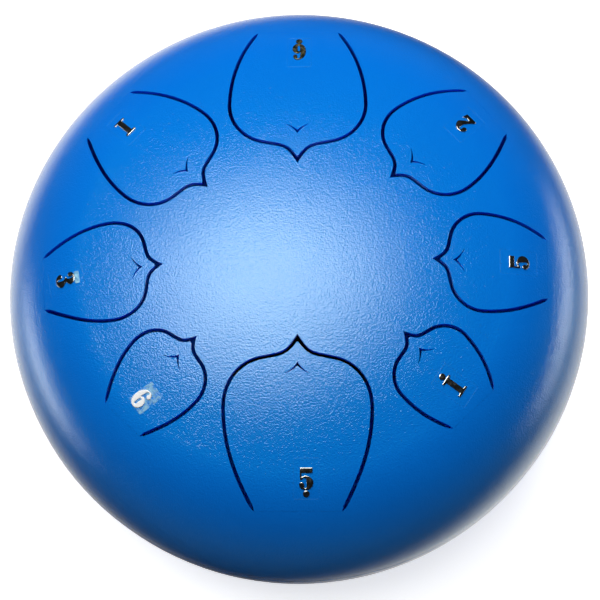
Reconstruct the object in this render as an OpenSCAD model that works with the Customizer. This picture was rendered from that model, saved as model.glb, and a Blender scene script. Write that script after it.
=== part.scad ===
// Small steel tongue drum: two spun steel dishes welded rim to rim, with eight petal tongues
// cut into the upper dish, a sound hole in the lower one and three riveted rubber feet.
// Millimetres. The origin is on the floor, under the middle of the drum, and Z points up.

/* [Shells] */
// Diameter of both steel shells at the weld
drum_d = 155; // [150:0.5:180]
// Thickness of the steel sheet
sheet = 1.5; // [1:0.1:2.5]
// Radius of the upper shell's shallow crown
crown_r = 188; // [140:1:320]
// Radius of the upper shell's rounded shoulder
shoulder_r = 32.4; // [24:0.1:38]
// Height of the straight wall under the shoulder
rim_h = 1; // [0.8:0.1:6]
// Radius of the lower shell's flatter crown
base_crown_r = 320; // [200:1:500]
// Radius of the lower shell's rounded shoulder
base_shoulder_r = 32.4; // [24:0.1:38]
// Height of the straight wall over the lower shoulder
base_rim_h = 5; // [2:0.1:10]
// Diameter of the sound hole in the lower shell
sound_hole_d = 50; // [30:1:56]

/* [Weld] */
// Width of the weld bead across the seam
bead_w = 2.2; // [1.2:0.1:3]
// Depth of the groove that the bead fills
bead_depth = 0.8; // [0.4:0.05:0.9]
// Height of the bead's ground-down crown over the wall
bead_crown = 0.12; // [0.05:0.01:0.4]

/* [Tongues] */
// Width of the slot round each tongue
slot_w = 0.94; // [0.5:0.02:1.2]
// Length over which each slot tapers to its end
slot_taper = 1.2; // [0.8:0.1:4]
// Radius of each tongue's rounded tip
tip_r = 0.4; // [0.2:0.05:0.8]
// Hairline at each tongue's root, where it flexes
root_gap = 0.03; // [0.02:0.01:0.06]
// Length of the low fifth's tongue
low_5_len = 41.1; // [35:0.1:42]
// Angle that the low fifth's tongue spans about the drum's axis
low_5_angle = 50.5; // [42:0.1:52]
// Length of the low sixth's tongue
low_6_len = 39.5; // [34:0.1:40.5]
// Angle that the low sixth's tongue spans about the drum's axis
low_6_angle = 47.0; // [39:0.1:48]
// Length of the first's tongue
first_len = 35.3; // [30:0.1:37]
// Angle that the first's tongue spans about the drum's axis
first_angle = 38.1; // [32:0.1:39]
// Length of the second's tongue
second_len = 32.6; // [28:0.1:34.5]
// Angle that the second's tongue spans about the drum's axis
second_angle = 34.4; // [29:0.1:35]
// Length of the third's tongue
third_len = 30.7; // [26:0.1:33]
// Angle that the third's tongue spans about the drum's axis
third_angle = 30.6; // [26:0.1:32]
// Length of the fifth's tongue
fifth_len = 28.7; // [24:0.1:31]
// Angle that the fifth's tongue spans about the drum's axis
fifth_angle = 30.2; // [25:0.1:31]
// Length of the sixth's tongue
sixth_len = 26.1; // [22:0.1:28]
// Angle that the sixth's tongue spans about the drum's axis
sixth_angle = 28.5; // [24:0.1:29]
// Length of the high first's tongue
high_1_len = 24.2; // [20:0.1:26]
// Angle that the high first's tongue spans about the drum's axis
high_1_angle = 28.2; // [24:0.1:29]

/* [Marks] */
// Width of the small arrow slit cut near each tip
mark_w = 6.3; // [4:0.1:7.4]
// Length of the arrow slit from its point to its arms
mark_len = 2.9; // [2:0.1:3.5]

/* [Feet] */
// Height of a foot at its middle, from the floor to the shell
foot_h = 7.5; // [6:0.1:12]
// Diameter of a foot where it seats on the shell
foot_d = 16; // [14:0.1:16.2]
// Diameter of a foot where it stands on the floor
foot_base_d = 14; // [12:0.1:16]
// Radius of the round edge at the foot's base
foot_edge_r = 0.8; // [0.3:0.1:1]
// Distance of each foot from the drum's middle
foot_circle_r = 42; // [39:0.5:52]
// Gap round the washer in the recess that hides it and the rivet's head
recess_clear = 0.3; // [0.1:0.05:0.6]
// Depth of that recess
recess_depth = 3.4; // [2.8:0.1:4.5]

/* [Rivets] */
// Diameter of the washer
washer_d = 8; // [7:0.1:8.8]
// Thickness of the washer
washer_t = 0.8; // [0.5:0.1:1]
// Diameter of the rivet's shank
rivet_d = 3.2; // [2.4:0.1:4]
// Diameter of the rivet's head
rivet_head_d = 6.4; // [5:0.1:6.8]
// Height of the rivet's head
rivet_head_h = 1.1; // [0.8:0.1:1.4]
// Diameter of the rivet's blind end inside the drum
rivet_bulb_d = 5; // [4.4:0.1:6]
// Height of the rivet's blind end at its middle
rivet_bulb_h = 3; // [2.4:0.1:5]
// Diameter of the pin hole in the rivet's head
rivet_pin_d = 1.8; // [1:0.1:2]
// Radial clearance round the rivet's shank
rivet_clear = 0.05; // [0.02:0.01:0.1]

/* [Hidden] */

// Overrun of every cut
over = 1;
// Facets of a full turn of a shell, of a profile's arc and of a small round piece
turn_fn = 180;
arc_fn = 120;
small_fn = 48;

drum_r = drum_d / 2;
recess_d = washer_d + 2 * recess_clear;

// Steps along each stretch of a petal's half outline
steps_per_stretch = [6, 10, 11];
// Steps along half of a tongue's rounded tip
tip_steps = 3;
// Steps along each edge of an arrow slit's arm
mark_steps = 6;

// Half outline of a petal from its tip to its root: four points for each Bezier stretch,
// each a share of the tongue's length and a share of its half width
petal_shares = [
    [[0, 0], [0.1147, 0.16], [0.0995, 0.208], [0.1283, 0.509]],
    [[0.1283, 0.509], [0.1568, 0.806], [0.278, 1], [0.407, 1]],
    [[0.407, 1], [0.609, 1], [0.785, 0.28], [1, 0]]
];
// Outer and inner edge of an arrow slit's arm, as shares of its length and half width
mark_outer_shares = [[0, 0], [0.3, 0.12], [0.78, 0.55], [1, 1]];
mark_inner_shares = [[0.36, 0], [0.5, 0.12], [0.93, 0.62], [1, 1]];

// One row for each tongue: its axis as a share of a full turn, the distance of its root and
// the sideways shift of its axis as shares of the drum's radius, its root's share of its own
// width, the place of its arrow slit as a share of its own length, and the place of its
// flanks, from the cusp to the belly, as a share of their usual place
tongue_shares = [
    [0.75, 0.8127, 0.012, 0.594, 0.143, 0.945],
    [0.2512, 0.8205, -0.012, 0.607, 0.188, 1.03],
    [0.3864, 0.8233, 0.016, 0.555, 0.167, 0.973],
    [0.1109, 0.8305, -0.005, 0.561, 0.18, 0.984],
    [0.5118, 0.8306, 0.003, 0.533, 0.14, 0.955],
    [0.999, 0.8237, -0.016, 0.606, 0.151, 1.035],
    [0.6288, 0.7583, -0.035, 0.548, 0.2, 0.97],
    [0.87, 0.7493, 0.076, 0.636, 0.188, 1.057]
];
tongue_len = [low_5_len, low_6_len, first_len, second_len, third_len, fifth_len, sixth_len, high_1_len];
tongue_angle = [low_5_angle, low_6_angle, first_angle, second_angle,
    third_angle, fifth_angle, sixth_angle, high_1_angle];

// Distance from the drum's axis to the widest part of a tongue, and the width there
function belly_r(i) = tongue_shares[i][1] * drum_r - (1 - petal_shares[1][3][0]) * tongue_len[i];
tongue_w = [for (i = [0:len(tongue_len) - 1]) 2 * belly_r(i) * tan(tongue_angle[i] / 2)];

// Angle of each foot about the drum's axis
foot_angles = [270, 30, 150];

// Distance from the drum's axis to the middle of a shoulder's arc
function shoulder_x(shoulder) = drum_r - shoulder;
// Angle from the drum's axis at which the crown meets the shoulder
function join_angle(crown, shoulder) = asin(shoulder_x(shoulder) / (crown - shoulder));
// Height of the crown's centre over the weld, for a shell that opens downwards
function crown_z(crown, shoulder, rim) = rim - (crown - shoulder) * cos(join_angle(crown, shoulder));
// Height of a shell's outer face over the weld at a distance r from the axis
function shell_z(crown, shoulder, rim, r) =
    r < crown * sin(join_angle(crown, shoulder))
        ? crown_z(crown, shoulder, rim) + sqrt(crown * crown - r * r)
        : rim + sqrt(max(0, shoulder * shoulder - pow(r - shoulder_x(shoulder), 2)));

// Height of the weld over the floor: the feet hold the lower shell at their own height
weld_z = foot_h + shell_z(base_crown_r, base_shoulder_r, base_rim_h, foot_circle_r);

function mix(a, b, t) = a + (b - a) * t;
function bezier(p, t) =
    pow(1 - t, 3) * p[0] + 3 * pow(1 - t, 2) * t * p[1] + 3 * (1 - t) * t * t * p[2] + pow(t, 3) * p[3];
function bezier_way(p, t) =
    3 * pow(1 - t, 2) * (p[1] - p[0]) + 6 * (1 - t) * t * (p[2] - p[1]) + 3 * t * t * (p[3] - p[2]);

// The petal's stretches in millimetres: the flanks lie where the tongue's own share says, and
// the last stretch runs down to the tongue's own root width
function petal_stretch(i, k) =
    let(
        long = tongue_len[i],
        half = tongue_w[i] / 2,
        root = tongue_shares[i][3],
        flank = tongue_shares[i][5],
        s = petal_shares[k]
    )
    [for (j = [0:3])
        [(k == 0 || (k == 1 && j < 3) ? flank : 1) * s[j][0] * long,
            (k == 2 && j > 1 ? root + s[j][1] : s[j][1]) * half]];

// Half the gap beside the tongue at a distance x from its tip: it tapers towards the root
function half_gap(i, x) =
    mix(root_gap, slot_w, min(1, max(0, (tongue_len[i] - x) / slot_taper))) / 2;

// Places of a stretch's points along it, with one where the slot starts to taper
function stretch_places(i, k) =
    let(
        steps = steps_per_stretch[k],
        taper = k == 2 ? slot_taper / norm(bezier_way(petal_stretch(i, k), 1)) : 0,
        even = [for (n = [(k == 0 ? 0 : 1):steps - 1]) if (n < steps * (1 - taper) - 1 / 3) n / steps]
    )
    concat(even, taper > 0 ? [1 - taper] : [], [1]);

// Points of the half outline, moved sideways by the half gap: side is 1 for the window's
// edge and -1 for the tongue's own edge
function edge_points(i, side) = [
    for (k = [0:2]) for (t = stretch_places(i, k))
        let(
            s = petal_stretch(i, k),
            p = bezier(s, t),
            way = bezier_way(s, t),
            out = [-way[1], way[0]] / norm(way)
        )
        p + side * half_gap(i, p[0]) * out
];

// The same points on one side of the tongue's axis, from the cusp where they cross it
function trimmed(points) =
    let(
        first = min([for (k = [1:len(points) - 1]) if (points[k][1] > 0 && points[k - 1][1] <= 0) k]),
        a = points[first - 1],
        b = points[first]
    )
    concat([mix(a, b, -a[1] / (b[1] - a[1]))], [for (k = [first:len(points) - 1]) points[k]]);

// The window's cusp, where its two edges would meet if they ran on straight
function cusp(i) =
    let(way = bezier_way(petal_stretch(i, 0), 0))
    [-half_gap(i, 0) * norm(way) / way[1], 0];

// A tongue's half outline with an arc in place of its sharp tip
function rounded_tip(points) =
    let(
        way = points[1] - points[0],
        angle = atan2(way[1], way[0]),
        centre = points[0][0] + tip_r / sin(angle),
        touch = centre - tip_r * sin(angle)
    )
    concat(
        [for (n = [0:tip_steps])
            let(turned = n / tip_steps * (90 - angle))
            [centre - tip_r * cos(turned), tip_r * sin(turned)]],
        [for (p = points) if (p[0] > touch + tip_r) p]
    );

function window_half(i) = concat([cusp(i)], edge_points(i, 1));
function tongue_half(i) = rounded_tip(trimmed(edge_points(i, -1)));

// A closed outline from its half: the other half is its mirror image
function both_sides(half) = concat(half, [for (k = [len(half) - 1:-1:1]) [half[k][0], -half[k][1]]]);

// An outline's root end, moved along the axis by half the root's hairline
function at_root(i, half, side) =
    concat([for (k = [0:len(half) - 2]) half[k]],
        [[tongue_len[i] + side * root_gap / 2, half[len(half) - 1][1]]]);

// Places a tongue's own outline, tip at zero and root towards +X, on the drum
module at_tongue(i) {
    rotate(360 * tongue_shares[i][0])
        translate([tongue_shares[i][1] * drum_r - tongue_len[i], tongue_shares[i][2] * drum_r])
            children();
}

module window_outline(i) {
    at_tongue(i) polygon(both_sides(at_root(i, window_half(i), 1)));
}

module tongue_outline(i) {
    at_tongue(i) polygon(both_sides(at_root(i, tongue_half(i), -1)));
}

// Small arrow slit with two tapered arms, its point towards the tongue's tip
module arrow_outline(i) {
    function arm(shares) =
        [for (n = [0:mark_steps])
            let(p = bezier(shares, n / mark_steps)) [p[0] * mark_len, p[1] * mark_w / 2]];
    outer = arm(mark_outer_shares);
    inner = arm(mark_inner_shares);
    one_side = concat(outer, [for (n = [mark_steps - 1:-1:0]) inner[n]]);
    other_side = [for (p = concat([for (n = [1:mark_steps - 1]) inner[n]],
        [for (n = [mark_steps:-1:1]) outer[n]])) [p[0], -p[1]]];
    at_tongue(i)
        translate([tongue_shares[i][4] * tongue_len[i], 0])
            polygon(concat(one_side, other_side));
}

// Part of the profile plane between the drum's axis and the line on which crown meets shoulder
module crown_sector(crown, shoulder, rim) {
    reach = 2 * crown;
    angle = join_angle(crown, shoulder);
    translate([0, crown_z(crown, shoulder, rim)])
        polygon([[0, 0], [reach * sin(angle), reach * cos(angle)], [0, reach * cos(angle)]]);
}

// Half profile of a dish that opens downwards, filled to its axis: crown, shoulder and a short
// straight wall, all set in from the outer face by the same distance
module filled_profile(crown, shoulder, rim, inset) {
    intersection() {
        union() {
            intersection() {
                translate([0, crown_z(crown, shoulder, rim)])
                    circle(crown - inset, $fn = 3 * arc_fn);
                crown_sector(crown, shoulder, rim);
            }
            translate([shoulder_x(shoulder), rim])
                circle(shoulder - inset, $fn = arc_fn);
            square([drum_r - inset, rim]);
        }
        square([drum_r + over, crown]);
    }
}

module dish_profile(crown, shoulder, rim) {
    difference() {
        filled_profile(crown, shoulder, rim, 0);
        filled_profile(crown, shoulder, rim, sheet);
    }
}

module dish(crown, shoulder, rim) {
    rotate_extrude($fn = turn_fn)
        dish_profile(crown, shoulder, rim);
}

module top_dish() {
    translate([0, 0, weld_z])
        dish(crown_r, shoulder_r, rim_h);
}

module bottom_dish() {
    translate([0, 0, weld_z])
        mirror([0, 0, 1])
            dish(base_crown_r, base_shoulder_r, base_rim_h);
}

// Full height prism of an outline, for the cuts through the upper shell
module through_top() {
    translate([0, 0, weld_z])
        linear_extrude(crown_r)
            children();
}

// V of the weld's groove in the profile plane, run on past the wall
module groove_profile() {
    far_half = (bead_w / 2) * (bead_depth + over) / bead_depth;
    polygon([[drum_r - bead_depth, 0], [drum_r + over, far_half], [drum_r + over, -far_half]]);
}

// Groove for the weld, half of it in each rim
module weld_groove() {
    translate([0, 0, weld_z])
        rotate_extrude($fn = turn_fn)
            groove_profile();
}

module top_shell() {
    color("dodgerblue")
        difference() {
            top_dish();
            through_top()
                for (i = [0:len(tongue_shares) - 1])
                    window_outline(i);
            weld_groove();
        }
}

module tongue(i) {
    color("dodgerblue")
        intersection() {
            top_dish();
            through_top()
                difference() {
                    tongue_outline(i);
                    arrow_outline(i);
                }
        }
}

module bottom_shell() {
    color("royalblue")
        difference() {
            bottom_dish();
            translate([0, 0, -over])
                cylinder(h = weld_z, d = sound_hole_d, $fn = turn_fn);
            for (angle = foot_angles)
                at_foot(angle)
                    translate([0, 0, -over])
                        cylinder(h = weld_z, r = rivet_d / 2 + rivet_clear, $fn = small_fn);
            weld_groove();
        }
}

// Weld metal that fills the groove, with a low crown left by the grinding
module weld_bead() {
    crown_arc_r = (pow(bead_w / 2, 2) + pow(bead_crown, 2)) / (2 * bead_crown);
    color("dodgerblue")
        translate([0, 0, weld_z])
            rotate_extrude($fn = turn_fn)
                intersection() {
                    translate([drum_r + bead_crown - crown_arc_r, 0])
                        circle(crown_arc_r, $fn = 2 * arc_fn);
                    groove_profile();
                }
}

module at_foot(angle) {
    rotate(angle)
        translate([foot_circle_r, 0, 0])
            children();
}

// The lower dish filled up to the weld, set in from its outer face, to cut seats with
module filled_base(inset) {
    translate([0, 0, weld_z])
        mirror([0, 0, 1])
            rotate_extrude($fn = turn_fn)
                filled_profile(base_crown_r, base_shoulder_r, base_rim_h, inset);
}

// Rubber foot with its seat cut to the shell and a stepped hole for the washer and rivet
module foot(angle) {
    seat_top = foot_h + foot_d / 2;
    color("dimgray")
        difference() {
            at_foot(angle)
                rotate_extrude($fn = small_fn)
                    difference() {
                        union() {
                            polygon([
                                [0, 0],
                                [foot_base_d / 2 - foot_edge_r, 0],
                                [foot_base_d / 2, foot_edge_r],
                                [foot_d / 2, foot_h],
                                [foot_d / 2, seat_top],
                                [0, seat_top]
                            ]);
                            translate([foot_base_d / 2 - foot_edge_r, foot_edge_r])
                                circle(foot_edge_r, $fn = small_fn);
                        }
                        translate([0, -over])
                            square([recess_d / 2, recess_depth + over]);
                        square([rivet_d / 2 + rivet_clear, seat_top + over]);
                    }
            filled_base(0);
        }
}

module washer(angle) {
    color("silver")
        at_foot(angle)
            translate([0, 0, recess_depth - washer_t])
                difference() {
                    cylinder(h = washer_t, d = washer_d, $fn = small_fn);
                    translate([0, 0, -over])
                        cylinder(h = washer_t + 2 * over, r = rivet_d / 2 + rivet_clear, $fn = small_fn);
                }
}

// Blind rivet: a low round head under the washer, a shank and a blind end set on the shell
module rivet(angle) {
    head_top = recess_depth - washer_t;
    head_arc_r = (pow(rivet_head_d / 2, 2) + pow(rivet_head_h, 2)) / (2 * rivet_head_h);
    blind_end = foot_h + sheet + rivet_bulb_h;
    color("silver") {
        at_foot(angle)
            difference() {
                union() {
                    intersection() {
                        translate([0, 0, head_top - rivet_head_h + head_arc_r])
                            sphere(head_arc_r, $fn = 2 * small_fn);
                        cylinder(h = head_top, d = rivet_head_d + over, $fn = small_fn);
                    }
                    translate([0, 0, head_top])
                        cylinder(h = blind_end - head_top, d = rivet_d, $fn = small_fn);
                }
                cylinder(h = head_top, d = rivet_pin_d, $fn = small_fn);
            }
        intersection() {
            at_foot(angle)
                translate([0, 0, foot_h])
                    cylinder(h = blind_end - foot_h, d = rivet_bulb_d, $fn = small_fn);
            filled_base(sheet);
        }
    }
}

top_shell();
tongue(0);  // tongue_low_5
tongue(1);  // tongue_low_6
tongue(2);  // tongue_1
tongue(3);  // tongue_2
tongue(4);  // tongue_3
tongue(5);  // tongue_5
tongue(6);  // tongue_6
tongue(7);  // tongue_high_1
bottom_shell();
weld_bead();
foot(foot_angles[0]);  // foot_front
foot(foot_angles[1]);  // foot_rear_right
foot(foot_angles[2]);  // foot_rear_left
washer(foot_angles[0]);  // washer_front
washer(foot_angles[1]);  // washer_rear_right
washer(foot_angles[2]);  // washer_rear_left
rivet(foot_angles[0]);  // rivet_front
rivet(foot_angles[1]);  // rivet_rear_right
rivet(foot_angles[2]);  // rivet_rear_left
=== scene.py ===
"""Looks of a small steel tongue drum: sprayed azure enamel, foil numerals on clear film and a studio."""
import math

import bmesh
import bpy
from mathutils import Matrix, Vector
from mathutils.bvhtree import BVHTree


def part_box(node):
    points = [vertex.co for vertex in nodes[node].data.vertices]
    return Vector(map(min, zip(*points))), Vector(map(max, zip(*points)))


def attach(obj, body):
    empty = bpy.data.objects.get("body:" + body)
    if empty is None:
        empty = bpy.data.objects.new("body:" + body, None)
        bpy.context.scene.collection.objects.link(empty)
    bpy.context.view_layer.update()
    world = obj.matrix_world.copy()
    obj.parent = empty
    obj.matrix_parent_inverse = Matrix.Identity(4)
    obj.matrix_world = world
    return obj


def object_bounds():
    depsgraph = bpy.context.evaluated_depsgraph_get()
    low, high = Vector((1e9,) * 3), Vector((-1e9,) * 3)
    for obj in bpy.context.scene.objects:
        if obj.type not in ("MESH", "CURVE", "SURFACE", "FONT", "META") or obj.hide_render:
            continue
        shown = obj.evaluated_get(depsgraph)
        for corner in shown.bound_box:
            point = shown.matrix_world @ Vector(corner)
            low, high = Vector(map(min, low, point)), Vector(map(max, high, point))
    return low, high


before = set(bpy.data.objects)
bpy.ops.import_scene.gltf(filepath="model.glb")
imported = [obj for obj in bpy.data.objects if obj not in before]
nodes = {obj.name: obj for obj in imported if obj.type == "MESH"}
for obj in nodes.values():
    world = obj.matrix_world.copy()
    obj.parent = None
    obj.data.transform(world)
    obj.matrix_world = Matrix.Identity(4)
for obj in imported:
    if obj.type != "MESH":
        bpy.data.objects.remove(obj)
cad_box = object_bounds()

MM = 0.001

# Camera, fitted to the drum's outline and slots: where it stands and how it is turned
IMAGE_SIZE = 600
CAMERA_AZIMUTH = math.radians(6.2)
CAMERA_ELEVATION = math.radians(74.86)
CAMERA_ROLL = math.radians(-6.2)
CAMERA_DISTANCE = 0.451
NEAR_CLIP = 0.01
FOCAL_PIXELS = 1669.6
SENSOR_WIDTH = 36.0
OPTICAL_AXIS_PIXEL = (298.4, 291.8)

WELD_HEIGHT = sum(corner[2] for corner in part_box("weld_bead")) / 2

# Lamps: one wide soft box with a brighter core over the drum, and a fill behind it
SOFT_BOX_DIRECTION = (-0.127, 0.182, 0.973)
SOFT_BOX_DISTANCE = 0.88
SOFT_BOX_SIZE = (0.78, 0.6)
SOFT_BOX_TURN = -0.44
SOFT_BOX_POWER = 5.6
CORE_DIRECTION = (-0.14, 0.19, 0.973)
CORE_SIZE = (0.34, 0.34)
CORE_POWER = 0.5
FILL_DIRECTION = (0.0, 0.83, 0.58)
FILL_DISTANCE = 1.0
FILL_SIZE = (0.8, 0.8)
FILL_POWER = 5.4

# Room: white as seen; its own light is dim, and mirrored it is dark above a horizon of two heights
ROOM_LIGHT = 0.01
DARK_CEILING = 0.01
HORIZON = (-0.7, -0.5)

# White sheet that the drum stands on: its glow and its colour grow between two distances from the middle,
# which paints a shade under and around the drum
SHEET_RADIUS = 0.8
SHEET_SIDES = 96
SHEET_ROUGHNESS = 0.9
SHEET_GLOW = 0.85
SHEET_GLOW_PAINTED_SHADE_REACH = (0.04, 0.085)
SHEET_SHADE = 0.88
SHEET_PAINTED_SHADE_REACH = (0.02, 0.045)

# Painted reflections: patches of the sheet that glow for mirrored rays only, for the rim to mirror: middle,
# bright within, dark beyond, strength
PAINTED_REFLECTION_PATCHES = (
    ((-0.07, 0.05, 0), 0.06, 0.15, 1.1),
    ((0.07, 0, 0), 0.06, 0.13, 0.9),
    ((0.36, 0.08, 0), 0.03, 0.15, 5.0),
    ((0.33, -0.04, 0), 0.02, 0.14, 3.5),
    ((-0.32, -0.05, 0), 0.05, 0.15, 4.0),
)

# Sprayed grain: size and share of each noise in the height, and the broader mottle of the colours
GRAIN_NOISES = ((2500.0, 0.8), (1300.0, 0.2))
GRAIN_DETAIL = 1.0
MOTTLE = {"Scale": 45.0, "Detail": 3.0}
MOTTLE_RANGE = (0.2, 0.8)

# Enamel: a tinted satin under a clear coat, and the bare, rougher paint on the slots' cut walls
ENAMEL_COLOURS = ((0.0, 0.166, 0.735), (0.0, 0.182, 0.775))
ENAMEL_ROUGHNESS = (0.42, 0.48)
ENAMEL_SPECULAR = 0.75
ENAMEL_TINT = (0.05, 1.0, 0.5, 1)
ENAMEL_BUMP = 0.1 * MM
COAT_IOR = 1.64
COAT_ROUGHNESS = 0.07
WALL_COLOUR = (0.0, 0.15, 0.95)
WALL_ROUGHNESS = 0.7
WALL_FACING = (0.56, 0.62)
BEAD_RIPPLE = {"Scale": 260.0, "Detail": 0.0}
BEAD_RIPPLE_HEIGHT = 4

RUBBER_COLOURS = ((0.012, 0.012, 0.013), (0.035, 0.035, 0.036))
RUBBER_ROUGHNESS = (0.62, 0.8)
RUBBER_SPECULAR = 0.35
RUBBER_BUMP = 0.03 * MM

ZINC_COLOURS = ((0.52, 0.53, 0.55), (0.66, 0.67, 0.7))
ZINC_ROUGHNESS = (0.26, 0.4)
ZINC_SPANGLE_SCALE = 900.0
ZINC_BUMP = 0.004 * MM

ALUMINIUM_COLOURS = ((0.7, 0.71, 0.72), (0.8, 0.8, 0.81))
ALUMINIUM_ROUGHNESS = (0.22, 0.36)
ALUMINIUM_BUMP = 0.006 * MM

# Foils: dark and light colour, how metallic, lowest and highest roughness
DARK_CHROME = ((0.62, 0.66, 0.62), (0.78, 0.78, 0.74), 1.0, 0.1, 0.22)
BRONZE = ((0.03, 0.05, 0.03), (0.3, 0.27, 0.15), 0.8, 0.15, 0.3)
# The sixth numeral's foil: white all over, a painted highlight where the other foils mirror a dark room
WHITE_FOIL_PAINTED_HIGHLIGHT = ((0.93, 0.95, 0.97), (1.0, 1.0, 1.0), 0.0, 0.3, 0.45)
FOIL_STREAKS = {"Scale": 1100.0, "Detail": 2.0, "Distortion": 0.6}
NOISE_CONTRAST = (0.35, 0.65)

# Clear film shows at its edges only, partly its own edge and partly a painted glint that is strongest at
# its ends: how wide they are and how much each shows
FILM_COLOUR = (0.1, 0.5, 1, 1)
FILM_ROUGHNESS = 0.5
FILM_SPECULAR = 0.1
FILM_EDGE_GLINT_ALPHA = 0.12
FILM_END_REACH = 0.03
FILM_SIDE_REACH = 0.04
FILM_SIDE_SHARE = 0.3

# Clouded films let less through where they have come loose: least and most alpha of each
CLOUD_COLOURS = ((0.05, 0.45, 0.95), (0.55, 0.9, 1.0))
CLOUD_ROUGHNESS = 0.4
CLOUDS = {"Scale": 600.0, "Detail": 2.0, "Distortion": 1.0}
CLOUD_BUMP = 0.05 * MM
CLOUDED_ALPHA = (0.05, 0.6)
FROSTED_ALPHA = (0.45, 0.8)

# Numerals: flat strokes with rounded edges, in the middle of a rectangle of film
OUTLINE_UNIT = 0.095 * MM
NUMERAL_EDGE = 0.15 * MM
NUMERAL_WALL = 0.05 * MM
CURVE_STEPS = 6
EDGE_STEPS = 2
MERGE_DISTANCE = 0.001 * MM
FILM_SIZE = (6.4 * MM, 10.4 * MM)
FILM_CORNER = 0.4 * MM
FILM_CORNER_STEPS = 3
FILM_THICKNESS = 0.03 * MM
FILM_LIFT = 0.03 * MM
LOOSE_FILM_SIZE = (5.0 * MM, 7.3 * MM)
LOOSE_FILM_OFFSET = (0.65 * MM, 1.0 * MM)
FOLD_SIZE = (3.2 * MM, 1.4 * MM)
FOLD_OFFSET = (0.2 * MM, 3.3 * MM)
SKIN_TOLERANCE = 0.01 * MM
SEAT_REACH = 1.5 * MM
DROP_HEIGHT = 5 * MM
DOT_RADIUS = 9
DOT_DROP = 39.5
CUT_PITCH = 0.7 * MM
SHARP_ANGLE = math.radians(50)

# Outlines in outline units from the numeral's centre, "c" at a corner, "s" on a smooth curve
ONE = [[
    (-17, -29.5, "c"), (17, -29.5, "c"), (17, -23.5, "c"), (8, -22, "c"), (8, 22, "c"), (15, 23.5, "c"),
    (15, 29.5, "c"), (-17, 29.5, "c"), (-17, 23.5, "c"), (-8, 22, "c"), (-8, -22, "c"), (-17, -23.5, "c"),
]]
TWO = [[
    (-17.5, -29.5, "c"), (16.5, -29.5, "c"), (18.5, -12, "c"), (14, -12, "c"), (8, -17, "s"),
    (-2, -15.5, "c"), (10, -4, "s"), (18.5, 12, "s"), (0, 29.5, "s"), (-18, 17, "s"), (-12, 8.5, "s"),
    (-4.5, 15, "s"), (-5, 21, "s"), (-2.5, 24, "s"), (1.5, 13, "s"), (-5.5, -4.5, "s"), (-17.5, -23, "c"),
]]
THREE = [[
    (0, 29.5, "s"), (16.5, 15.5, "s"), (7, 2, "c"), (18.5, -13, "s"), (0, -29.5, "s"), (-18.5, -16, "s"),
    (-12.5, -8.5, "s"), (-4.5, -15, "s"), (-5, -21.5, "s"), (-2.5, -23.5, "s"), (0.5, -13, "s"),
    (-2.5, -1.5, "s"), (-7.5, -1, "c"), (-7.5, 4.5, "c"), (-2.5, 5.5, "s"), (-0.5, 15.5, "s"),
    (-3, 24, "s"), (-5.5, 22, "s"), (-4, 16.5, "s"), (-11.5, 10, "s"), (-17.5, 17.5, "s"),
]]
FIVE = [[
    (-16.5, 29.5, "c"), (16.5, 29.5, "c"), (16.5, 15, "c"), (-11.5, 15, "c"), (-11.5, 5.5, "c"),
    (0, 9, "s"), (18.5, -10, "s"), (0, -29.5, "s"), (-18.5, -16.5, "s"), (-12.5, -8, "s"),
    (-4.5, -15, "s"), (-5, -21.5, "s"), (-2.5, -23.5, "s"), (0.5, -10, "s"), (-4, 2.5, "s"),
    (-12, -2.5, "s"), (-16.5, -2.5, "c"),
]]
SIX = [[
    (2, 29.5, "s"), (16.5, 18.5, "s"), (10.5, 12, "s"), (4.5, 17.5, "s"), (6, 23.5, "s"), (2, 26, "s"),
    (-3.5, 10, "s"), (-3.5, 2.5, "c"), (4.5, 7.5, "s"), (18.5, -11, "s"), (0, -29.5, "s"), (-18.5, -2, "s"),
], [
    (1, 0, "s"), (3.5, -10.5, "s"), (1, -22, "s"), (-2.5, -10.5, "s"),
]]

# Stickers: tongue, outlines, side of the dot, axis of the tongue as a share of a turn, place along
# that axis and to its left, in millimetres from the drum's own axis, and twist in degrees
STICKERS = (
    ("low_5", FIVE, -1, 0.75, 55.6, 3.0, 0),
    ("low_6", SIX, -1, 0.2512, 56.4, -1.3, 0),
    ("1", ONE, 0, 0.3864, 56.8, 1.8, -3),
    ("2", TWO, 0, 0.1109, 56.5, -0.25, 5),
    ("3", THREE, 0, 0.5118, 58.2, 0.6, 7),
    ("5", FIVE, 0, 0.999, 56.3, -0.7, 0),
    ("6", SIX, 0, 0.6288, 51.9, -2.6, -12),
    ("high_1", ONE, 1, 0.87, 50.9, 6.2, 12.7),
)


def camera():
    out = Vector((
        math.cos(CAMERA_ELEVATION) * math.sin(CAMERA_AZIMUTH),
        -math.cos(CAMERA_ELEVATION) * math.cos(CAMERA_AZIMUTH),
        math.sin(CAMERA_ELEVATION),
    ))
    data = bpy.data.cameras.new("camera")
    data.sensor_width = SENSOR_WIDTH
    data.lens = SENSOR_WIDTH * FOCAL_PIXELS / IMAGE_SIZE
    data.shift_x = (IMAGE_SIZE / 2 - OPTICAL_AXIS_PIXEL[0]) / IMAGE_SIZE
    data.shift_y = (OPTICAL_AXIS_PIXEL[1] - IMAGE_SIZE / 2) / IMAGE_SIZE
    data.clip_start = NEAR_CLIP
    eye = bpy.data.objects.new("camera", data)
    eye.location = Vector((0, 0, WELD_HEIGHT)) + CAMERA_DISTANCE * out
    looking = out.to_track_quat("Z", "Y").to_matrix()
    eye.rotation_euler = (looking @ Matrix.Rotation(CAMERA_ROLL, 3, "Z")).to_euler()
    bpy.context.scene.collection.objects.link(eye)
    bpy.context.scene.camera = eye


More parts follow.
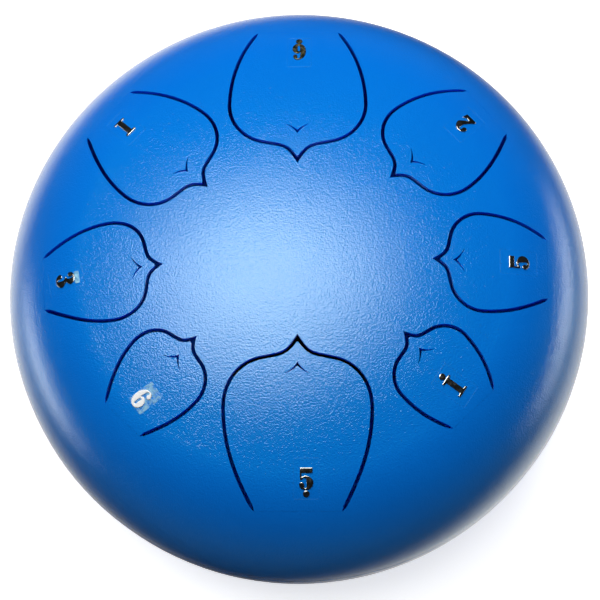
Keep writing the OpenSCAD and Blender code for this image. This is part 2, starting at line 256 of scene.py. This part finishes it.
def lamp(name, direction, distance, size, power, turn=0.0):
    """An elliptical lamp that faces the middle of the weld, turned about its own axis."""
    data = bpy.data.lights.new(name, "AREA")
    data.shape = "ELLIPSE"
    data.size = size[0]
    data.size_y = size[1]
    data.energy = power
    made = bpy.data.objects.new(name, data)
    away = Vector(direction).normalized()
    made.location = Vector((0, 0, WELD_HEIGHT)) + distance * away
    facing = away.to_track_quat("Z", "Y").to_matrix()
    made.rotation_euler = (facing @ Matrix.Rotation(turn, 3, "Z")).to_euler()
    bpy.context.scene.collection.objects.link(made)
    return made


def add(tree, kind, **values):
    """A shader node of the kind, with its inputs set by name."""
    made = tree.nodes.new("ShaderNode" + kind)
    for name, value in values.items():
        made.inputs[name.replace("_", " ")].default_value = value
    return made


def vector_math(tree, operation, first, second=None):
    """A vector node on a socket, with a second vector that is a socket or plain values."""
    made = add(tree, "VectorMath")
    made.operation = operation
    tree.links.new(first, made.inputs[0])
    if isinstance(second, bpy.types.NodeSocket):
        tree.links.new(second, made.inputs[1])
    elif second:
        made.inputs[1].default_value = second
    return made


def object_place(tree):
    return add(tree, "TexCoord").outputs["Object"]


def mix(tree, kind, first, second, amount):
    """A mix of kind "FLOAT" or "RGBA"; each end is a plain value or a socket."""
    made = tree.nodes.new("ShaderNodeMix")
    made.data_type = kind
    for end, given in (("A", first), ("B", second)):
        if isinstance(given, bpy.types.NodeSocket):
            tree.links.new(given, made.inputs[end])
        else:
            made.inputs[end].default_value = given
    tree.links.new(amount, made.inputs["Factor"])
    return made.outputs["Result"]


def mix_colours(tree, first, second, amount):
    ends = [end if isinstance(end, bpy.types.NodeSocket) else (*end, 1) for end in (first, second)]
    return mix(tree, "RGBA", *ends, amount)


def span(tree, value, low, high, start, end, smooth=False):
    """Takes low..high to start..end, held at both ends."""
    reach = add(tree, "MapRange", From_Min=low, From_Max=high, To_Min=start, To_Max=end)
    if smooth:
        reach.interpolation_type = "SMOOTHSTEP"
    tree.links.new(value, reach.inputs["Value"])
    return reach.outputs["Result"]


def total(tree, *values):
    running = values[0]
    for value in values[1:]:
        both = tree.nodes.new("ShaderNodeMath")
        both.operation = "ADD"
        tree.links.new(running, both.inputs[0])
        tree.links.new(value, both.inputs[1])
        running = both.outputs[0]
    return running


def by_ray(tree, bounced, mirrored, through, seen):
    """Picks a strength by the kind of ray that arrives: scattered, mirrored, let through or seen."""
    path = tree.nodes.new("ShaderNodeLightPath")
    strength = bounced
    kinds = (("Is Glossy Ray", mirrored), ("Is Transmission Ray", through), ("Is Camera Ray", seen))
    for ray, value in kinds:
        strength = mix(tree, "FLOAT", strength, value, path.outputs[ray])
    return strength


def room():
    world = bpy.data.worlds.new("studio")
    world.use_nodes = True
    tree = world.node_tree
    backdrop = tree.nodes["Background"]
    backdrop.inputs["Color"].default_value = (1, 1, 1, 1)
    direction = add(tree, "TexCoord")
    split = add(tree, "SeparateXYZ")
    tree.links.new(direction.outputs["Generated"], split.inputs["Vector"])
    mirrored = span(tree, split.outputs["Z"], *HORIZON, 1, DARK_CEILING, smooth=True)
    tree.links.new(by_ray(tree, ROOM_LIGHT, mirrored, 1, 1), backdrop.inputs["Strength"])
    bpy.context.scene.world = world


def lamps():
    lamp("soft box", SOFT_BOX_DIRECTION, SOFT_BOX_DISTANCE, SOFT_BOX_SIZE, SOFT_BOX_POWER, SOFT_BOX_TURN)
    lamp("soft box core", CORE_DIRECTION, SOFT_BOX_DISTANCE, CORE_SIZE, CORE_POWER, SOFT_BOX_TURN)
    fill = lamp("rear fill", FILL_DIRECTION, FILL_DISTANCE, FILL_SIZE, FILL_POWER)
    # Both lines are needed to keep it out of the enamel's reflections
    fill.visible_glossy = False
    fill.data.cycles.use_multiple_importance_sampling = False


def sheet_paper():
    """White as seen, with a painted shade that darkens it towards the middle under the drum; mirrored, it
    is black but for painted reflections in patches.
    """
    material, tree, shader = new_material("white sheet")
    shader.inputs["Roughness"].default_value = SHEET_ROUGHNESS
    shader.inputs["Specular IOR Level"].default_value = 0.0
    shader.inputs["Emission Color"].default_value = (1, 1, 1, 1)
    place = object_place(tree)
    reach = vector_math(tree, "LENGTH", place).outputs["Value"]
    # Painted shade: the glow that whitens the sheet is held off near and under the drum
    glow_with_painted_shade = span(tree, reach, *SHEET_GLOW_PAINTED_SHADE_REACH, 0, SHEET_GLOW, smooth=True)
    # Painted reflections: glowing patches that only mirrored rays see
    painted_reflections = []
    for middle, bright, dark, strength in PAINTED_REFLECTION_PATCHES:
        away = vector_math(tree, "DISTANCE", place, middle).outputs["Value"]
        painted_reflections.append(span(tree, away, bright, dark, strength, 0, smooth=True))
    glow = by_ray(tree, 0, total(tree, *painted_reflections), glow_with_painted_shade, glow_with_painted_shade)
    tree.links.new(glow, shader.inputs["Emission Strength"])
    # Painted shade: the sheet's colour darkens towards the middle under the drum; mirrored rays see it
    # black
    colour_with_painted_shade = span(tree, reach, *SHEET_PAINTED_SHADE_REACH, 0, SHEET_SHADE, smooth=True)
    tree.links.new(by_ray(tree, SHEET_SHADE, 0, colour_with_painted_shade, colour_with_painted_shade), shader.inputs["Base Color"])
    return material


def white_sheet():
    mesh = bpy.data.meshes.new("white sheet")
    shape = bmesh.new()
    bmesh.ops.create_circle(shape, cap_ends=True, segments=SHEET_SIDES, radius=SHEET_RADIUS)
    shape.to_mesh(mesh)
    shape.free()
    sheet = bpy.data.objects.new("white sheet", mesh)
    bpy.context.scene.collection.objects.link(sheet)
    mesh.materials.append(sheet_paper())


def new_material(name):
    material = bpy.data.materials.new(name)
    material.use_nodes = True
    tree = material.node_tree
    return material, tree, tree.nodes["Principled BSDF"]


def grain_group(name):
    """Noises of several sizes laid over each other: a height for the bump and a mottle for colours."""
    group = bpy.data.node_groups.new(name, "ShaderNodeTree")
    group.interface.new_socket("Height", in_out="OUTPUT", socket_type="NodeSocketFloat")
    group.interface.new_socket("Mottle", in_out="OUTPUT", socket_type="NodeSocketFloat")
    place = object_place(group)
    heights = []
    for scale, share in GRAIN_NOISES:
        noise = add(group, "TexNoise", Scale=scale, Detail=GRAIN_DETAIL)
        group.links.new(place, noise.inputs["Vector"])
        heights.append(span(group, noise.outputs["Fac"], 0, 1, 0, share))
    mottle = add(group, "TexNoise", **MOTTLE)
    group.links.new(place, mottle.inputs["Vector"])
    out = group.nodes.new("NodeGroupOutput")
    group.links.new(total(group, *heights), out.inputs["Height"])
    group.links.new(mottle.outputs["Fac"], out.inputs["Mottle"])
    return group


def sprayed_grain(tree):
    made = tree.nodes.new("ShaderNodeGroup")
    made.node_tree = spray
    return made.outputs["Height"], made.outputs["Mottle"]


def bump(tree, shader, height, distance):
    made = add(tree, "Bump", Strength=1.0, Distance=distance)
    tree.links.new(height, made.inputs["Height"])
    tree.links.new(made.outputs["Normal"], shader.inputs["Normal"])
    return made.outputs["Normal"]


def outer_mask(tree):
    """One on the drum's outer faces, nought on the slots' cut walls and inside."""
    outward = vector_math(tree, "SUBTRACT", object_place(tree), (0, 0, WELD_HEIGHT))
    direction = vector_math(tree, "NORMALIZE", outward.outputs["Vector"])
    face = add(tree, "NewGeometry")
    facing = vector_math(tree, "DOT_PRODUCT", direction.outputs["Vector"], face.outputs["True Normal"])
    return span(tree, facing.outputs["Value"], *WALL_FACING, 0, 1)


def sprayed_enamel(name, ripple=False):
    """Orange-peel enamel; the ripple under it is that of a ground weld bead."""
    material, tree, shader = new_material(name)
    shader.inputs["Specular IOR Level"].default_value = ENAMEL_SPECULAR
    shader.inputs["Specular Tint"].default_value = ENAMEL_TINT
    shader.inputs["Coat IOR"].default_value = COAT_IOR
    shader.inputs["Coat Roughness"].default_value = COAT_ROUGHNESS
    height, mottle = sprayed_grain(tree)
    outer = outer_mask(tree)
    colour = mix_colours(tree, *ENAMEL_COLOURS, mottle)
    tree.links.new(mix_colours(tree, WALL_COLOUR, colour, outer), shader.inputs["Base Color"])
    satin = span(tree, mottle, *MOTTLE_RANGE, *ENAMEL_ROUGHNESS)
    tree.links.new(mix(tree, "FLOAT", WALL_ROUGHNESS, satin, outer), shader.inputs["Roughness"])
    tree.links.new(outer, shader.inputs["Coat Weight"])
    if ripple:
        beads = add(tree, "TexNoise", **BEAD_RIPPLE)
        tree.links.new(object_place(tree), beads.inputs["Vector"])
        height = total(tree, height, span(tree, beads.outputs["Fac"], 0, 1, 0, BEAD_RIPPLE_HEIGHT))
    normal = bump(tree, shader, height, ENAMEL_BUMP)
    tree.links.new(normal, shader.inputs["Coat Normal"])
    return material


def moulded_rubber():
    material, tree, shader = new_material("foot rubber")
    shader.inputs["Specular IOR Level"].default_value = RUBBER_SPECULAR
    height, mottle = sprayed_grain(tree)
    tree.links.new(mix_colours(tree, *RUBBER_COLOURS, mottle), shader.inputs["Base Color"])
    tree.links.new(span(tree, mottle, *MOTTLE_RANGE, *RUBBER_ROUGHNESS), shader.inputs["Roughness"])
    bump(tree, shader, height, RUBBER_BUMP)
    return material


def zinc_plate():
    material, tree, shader = new_material("zinc plate")
    shader.inputs["Metallic"].default_value = 1
    spangle = add(tree, "TexVoronoi", Scale=ZINC_SPANGLE_SCALE)
    tree.links.new(object_place(tree), spangle.inputs["Vector"])
    grey = add(tree, "RGBToBW")
    tree.links.new(spangle.outputs["Color"], grey.inputs["Color"])
    tree.links.new(mix_colours(tree, *ZINC_COLOURS, grey.outputs["Val"]), shader.inputs["Base Color"])
    tree.links.new(span(tree, grey.outputs["Val"], 0, 1, *ZINC_ROUGHNESS), shader.inputs["Roughness"])
    bump(tree, shader, grey.outputs["Val"], ZINC_BUMP)
    return material


def rivet_aluminium():
    material, tree, shader = new_material("rivet aluminium")
    shader.inputs["Metallic"].default_value = 1
    height, _ = sprayed_grain(tree)
    tree.links.new(mix_colours(tree, *ALUMINIUM_COLOURS, height), shader.inputs["Base Color"])
    tree.links.new(span(tree, height, *MOTTLE_RANGE, *ALUMINIUM_ROUGHNESS), shader.inputs["Roughness"])
    bump(tree, shader, height, ALUMINIUM_BUMP)
    return material


def foil(name, dark, light, metallic, low, high):
    material, tree, shader = new_material(name)
    shader.inputs["Metallic"].default_value = metallic
    streaks = add(tree, "TexNoise", **FOIL_STREAKS)
    tree.links.new(object_place(tree), streaks.inputs["Vector"])
    worn = span(tree, streaks.outputs["Fac"], *NOISE_CONTRAST, 0, 1)
    tree.links.new(mix_colours(tree, dark, light, worn), shader.inputs["Base Color"])
    tree.links.new(span(tree, worn, 0, 1, low, high), shader.inputs["Roughness"])
    return material


def edge_and_glint_mask(tree):
    """Nought in the middle of a film, one at its ends and less at its sides, from the film's own UV: the
    film's edge with a painted glint.
    """
    place = add(tree, "TexCoord")
    split = add(tree, "SeparateXYZ")
    tree.links.new(place.outputs["UV"], split.inputs["Vector"])
    edges = []
    for name, reach, share in (("X", FILM_SIDE_REACH, FILM_SIDE_SHARE), ("Y", FILM_END_REACH, 1)):
        folded = add(tree, "Math")
        folded.operation = "PINGPONG"
        folded.inputs[1].default_value = 0.5
        tree.links.new(split.outputs[name], folded.inputs[0])
        edges.append(span(tree, folded.outputs[0], 0, reach, share, 0))
    return total(tree, *edges)


def clear_film():
    material, tree, shader = new_material("clear film")
    shader.inputs["Base Color"].default_value = FILM_COLOUR
    shader.inputs["Roughness"].default_value = FILM_ROUGHNESS
    shader.inputs["Specular IOR Level"].default_value = FILM_SPECULAR
    tree.links.new(span(tree, edge_and_glint_mask(tree), 0, 1, 0, FILM_EDGE_GLINT_ALPHA), shader.inputs["Alpha"])
    return material


def clouded_film(name, least, most):
    material, tree, shader = new_material(name)
    shader.inputs["Roughness"].default_value = CLOUD_ROUGHNESS
    clouds = add(tree, "TexNoise", **CLOUDS)
    tree.links.new(object_place(tree), clouds.inputs["Vector"])
    cloud = clouds.outputs["Fac"]
    tree.links.new(mix_colours(tree, *CLOUD_COLOURS, cloud), shader.inputs["Base Color"])
    tree.links.new(span(tree, cloud, *NOISE_CONTRAST, least, most), shader.inputs["Alpha"])
    bump(tree, shader, cloud, CLOUD_BUMP)
    return material


def skin_tree():
    """The upper shell and its tongues as one surface to lay the stickers on."""
    shape = bmesh.new()
    for name, thing in nodes.items():
        if name.startswith(("top_shell", "tongue")):
            shape.from_mesh(thing.data)
    tree = BVHTree.FromBMesh(shape, epsilon=SKIN_TOLERANCE)
    shape.free()
    return tree


def seat(turn, along, left, twist):
    """Where a sticker goes: its centre on the shell, its right, its top and its outward direction."""
    angle = 2 * math.pi * turn
    outward = Vector((math.cos(angle), math.sin(angle), 0))
    across = Vector((-math.sin(angle), math.cos(angle), 0))
    middle = outward * along * MM + across * left * MM + Vector((0, 0, 2 * cad_box[1][2]))

    def drop(offset):
        return skin.ray_cast(middle + offset, Vector((0, 0, -1)))[0]

    downhill = drop(outward * SEAT_REACH) - drop(-outward * SEAT_REACH)
    sideways = drop(across * SEAT_REACH) - drop(-across * SEAT_REACH)
    out = downhill.cross(sideways).normalized()
    top = -downhill.normalized()
    top = Matrix.Rotation(math.radians(twist), 3, out) @ top
    return drop(Vector()), top.cross(out), top, out


def lay(shape, place, lift):
    """Bends a flat shape onto the shell, each point along the sticker's own outward direction."""
    centre, right, top, out = place
    for vert in shape.verts:
        above = centre + right * vert.co.x + top * vert.co.y + out * DROP_HEIGHT
        below = skin.ray_cast(above, -out)[0] or skin.find_nearest(above)[0]
        vert.co = below + out * (vert.co.z + lift)


def everything(shape):
    return shape.verts[:] + shape.edges[:] + shape.faces[:]


def cut_up(shape, size):
    """Cuts a flat shape by lines across it, so that it can bend."""
    for direction, length in ((Vector((1, 0, 0)), size[0]), (Vector((0, 1, 0)), size[1])):
        count = int(length / 2 / CUT_PITCH)
        for i in range(-count, count + 1):
            middle = direction * i * CUT_PITCH
            bmesh.ops.bisect_plane(shape, geom=everything(shape), plane_co=middle, plane_no=direction)


def dot(side):
    quarter = [(1, 0), (0, 1), (-1, 0), (0, -1)]
    return [(x * DOT_RADIUS, y * DOT_RADIUS + side * DOT_DROP, "s") for x, y in quarter]


def stroke_mesh(outlines):
    """The strokes as a filled curve, bevelled on both faces."""
    data = bpy.data.curves.new("strokes", "CURVE")
    data.dimensions = "2D"
    data.fill_mode = "BOTH"
    data.resolution_u = CURVE_STEPS
    data.extrude = NUMERAL_WALL
    data.bevel_depth = NUMERAL_EDGE
    data.bevel_resolution = EDGE_STEPS
    data.offset = -NUMERAL_EDGE
    for outline in outlines:
        stroke = data.splines.new("BEZIER")
        stroke.bezier_points.add(len(outline) - 1)
        stroke.use_cyclic_u = True
        for point, (x, y, kind) in zip(stroke.bezier_points, outline):
            point.co = (x * OUTLINE_UNIT, y * OUTLINE_UNIT, 0)
            handle = "VECTOR" if kind == "c" else "AUTO"
            point.handle_left_type = handle
            point.handle_right_type = handle
    strokes = bpy.data.objects.new("strokes", data)
    bpy.context.scene.collection.objects.link(strokes)
    mesh = bpy.data.meshes.new_from_object(strokes.evaluated_get(bpy.context.evaluated_depsgraph_get()))
    bpy.data.objects.remove(strokes)
    return mesh


def numeral_shape(outlines):
    """The strokes as a solid with a flat back and rounded front edges."""
    mesh = stroke_mesh(outlines)
    shape = bmesh.new()
    shape.from_mesh(mesh)
    bpy.data.meshes.remove(mesh)
    bmesh.ops.remove_doubles(shape, verts=shape.verts, dist=MERGE_DISTANCE)
    cut = bmesh.ops.bisect_plane(shape, geom=everything(shape), plane_co=(0, 0, 0), plane_no=(0, 0, 1),
                                 clear_inner=True)
    rim = [item for item in cut["geom_cut"] if isinstance(item, bmesh.types.BMEdge)]
    bmesh.ops.triangle_fill(shape, use_beauty=True, edges=rim)
    bmesh.ops.recalc_face_normals(shape, faces=shape.faces)
    cut_up(shape, FILM_SIZE)
    return shape


def film_shape(width, height):
    """A flat rectangle with rounded corners and its own UV map."""
    shape = bmesh.new()
    shape.loops.layers.uv.new("film")
    columns = math.ceil(width / CUT_PITCH)
    rows = math.ceil(height / CUT_PITCH)
    bmesh.ops.create_grid(shape, x_segments=columns, y_segments=rows, size=0.5, calc_uvs=True)
    bmesh.ops.scale(shape, vec=(width, height, 1), verts=shape.verts)
    corners = [vert for vert in shape.verts if len(vert.link_edges) == 2]
    bmesh.ops.bevel(shape, geom=corners, offset=FILM_CORNER, affect="VERTICES",
                    segments=FILM_CORNER_STEPS, profile=0.5, material=-1)
    return shape


def piece(name, shape, body, material):
    mesh = bpy.data.meshes.new(name)
    shape.to_mesh(mesh)
    shape.free()
    mesh.materials.append(material)
    mesh.shade_smooth()
    mesh.set_sharp_from_angle(angle=SHARP_ANGLE)
    thing = bpy.data.objects.new(name, mesh)
    bpy.context.scene.collection.objects.link(thing)
    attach(thing, body)


def film(name, body, place, size, material, offset=(0, 0)):
    shape = film_shape(*size)
    bmesh.ops.translate(shape, vec=(*offset, 0), verts=shape.verts)
    lay(shape, place, FILM_LIFT)
    bmesh.ops.solidify(shape, geom=shape.faces, thickness=FILM_THICKNESS)
    piece(name, shape, body, material)


def stickers():
    """A film and a numeral on each tongue; the sixth's film is loose and the third's has a fold."""
    dark = foil("dark chrome foil", *DARK_CHROME)
    bronze = foil("bronze foil", *BRONZE)
    painted_highlight_foil = foil("white foil with painted highlight", *WHITE_FOIL_PAINTED_HIGHLIGHT)
    # The sixth numeral is painted white, a painted highlight
    finishes = {"low_6": bronze, "6": painted_highlight_foil}
    clear = clear_film()
    clouded = clouded_film("clouded film", *CLOUDED_ALPHA)
    frosted = clouded_film("frosted film", *FROSTED_ALPHA)
    for name, outlines, dot_side, *spot in STICKERS:
        body = "tongue_" + name
        place = seat(*spot)
        strokes = outlines + [dot(dot_side)] if dot_side else outlines
        if name == "6":
            film("film_6", body, place, LOOSE_FILM_SIZE, clouded, LOOSE_FILM_OFFSET)
        else:
            film("film_" + name, body, place, FILM_SIZE, clear)
        if name == "3":
            film("film_3_fold", body, place, FOLD_SIZE, frosted, FOLD_OFFSET)
        shape = numeral_shape(strokes)
        lay(shape, place, FILM_LIFT + FILM_THICKNESS)
        piece("numeral_" + name, shape, body, finishes.get(name, dark))


def dress_nodes():
    """Gives each CAD node its finish, by the first word of its name."""
    paint = sprayed_enamel("azure enamel")
    finishes = {
        "weld": sprayed_enamel("enamel over the weld", ripple=True),
        "foot": moulded_rubber(),
        "washer": zinc_plate(),
        "rivet": rivet_aluminium(),
    }
    for name, thing in nodes.items():
        thing.data.materials.clear()
        thing.data.materials.append(finishes.get(name.split("_")[0], paint))


camera()
room()
lamps()
white_sheet()
bpy.context.scene.view_settings.view_transform = "Standard"

spray = grain_group("sprayed grain")
dress_nodes()

skin = skin_tree()
stickers()
